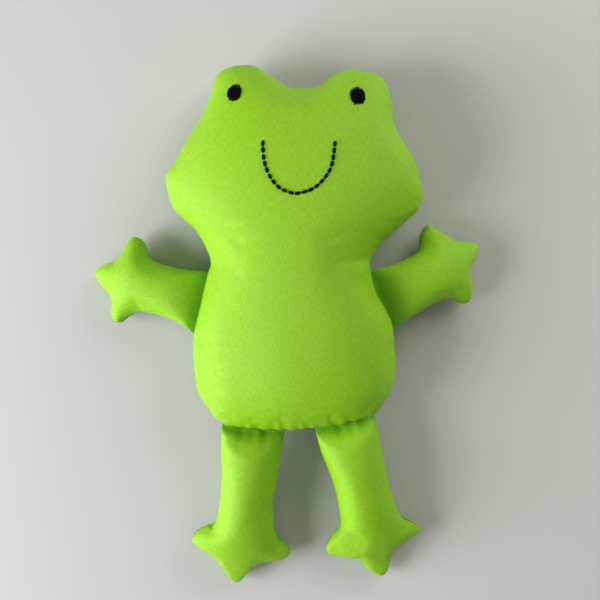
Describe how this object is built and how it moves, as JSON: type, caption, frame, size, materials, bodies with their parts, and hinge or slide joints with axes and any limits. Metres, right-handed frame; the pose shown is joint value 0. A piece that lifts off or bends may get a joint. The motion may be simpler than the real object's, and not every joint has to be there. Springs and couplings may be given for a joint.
{
  "type": "stuffed cotton frog doll",
  "caption": "Stuffed woven-cotton frog doll: head and torso in one flat pillow, sewn-on arms and legs with star-shaped hands and feet, and a stitched face.",
  "frame": {"origin": "on the flat of the back, under the middle of the torso, where the doll lies on the floor", "axes": "+X towards the frog's own left, +Y towards the top of its head, +Z out of its face"},
  "size_m": [0.2296, 0.3053, 0.0568],
  "materials": {
    "cotton": "plain-woven cotton, matt, bright yellow-green",
    "floss": "black stranded cotton with a slight sheen",
    "closing_thread": "green sewing cotton",
    "stuffing": "loose white polyester fibre"
  },
  "bodies": {
    "body": {"body_front_panel": "cotton", "body_back_panel": "cotton", "body_filling": "stuffing", "body_closing_thread": "closing_thread", "eye_left": "floss", "eye_right": "floss", "mouth_thread": "floss"},
    "arm_left": {"arm_left_front_panel": "cotton", "arm_left_back_panel": "cotton", "arm_left_filling": "stuffing"},
    "arm_right": {"arm_right_front_panel": "cotton", "arm_right_back_panel": "cotton", "arm_right_filling": "stuffing"},
    "leg_left": {"leg_left_front_panel": "cotton", "leg_left_back_panel": "cotton", "leg_left_filling": "stuffing"},
    "leg_right": {"leg_right_front_panel": "cotton", "leg_right_back_panel": "cotton", "leg_right_filling": "stuffing"}
  },
  "joints": [
    {"name": "shoulder_left", "type": "hinge", "parent": "body", "child": "arm_left", "pos_m": [0.05219, 0.02627, 0.022], "axis": [0.384, -0.9233, 0], "range_deg": [-45, 75]},
    {"name": "shoulder_right", "type": "hinge", "parent": "body", "child": "arm_right", "pos_m": [-0.05511, 0.02596, 0.022], "axis": [0.2196, 0.9756, 0], "range_deg": [-45, 75]},
    {"name": "hip_left", "type": "hinge", "parent": "body", "child": "leg_left", "pos_m": [0.03062, -0.04656, 0.022], "axis": [-0.9749, -0.2226, 0], "range_deg": [-45, 75]},
    {"name": "hip_right", "type": "hinge", "parent": "body", "child": "leg_right", "pos_m": [-0.02398, -0.04993, 0.022], "axis": [-0.9952, 0.0981, 0], "range_deg": [-45, 75]}
  ]
}
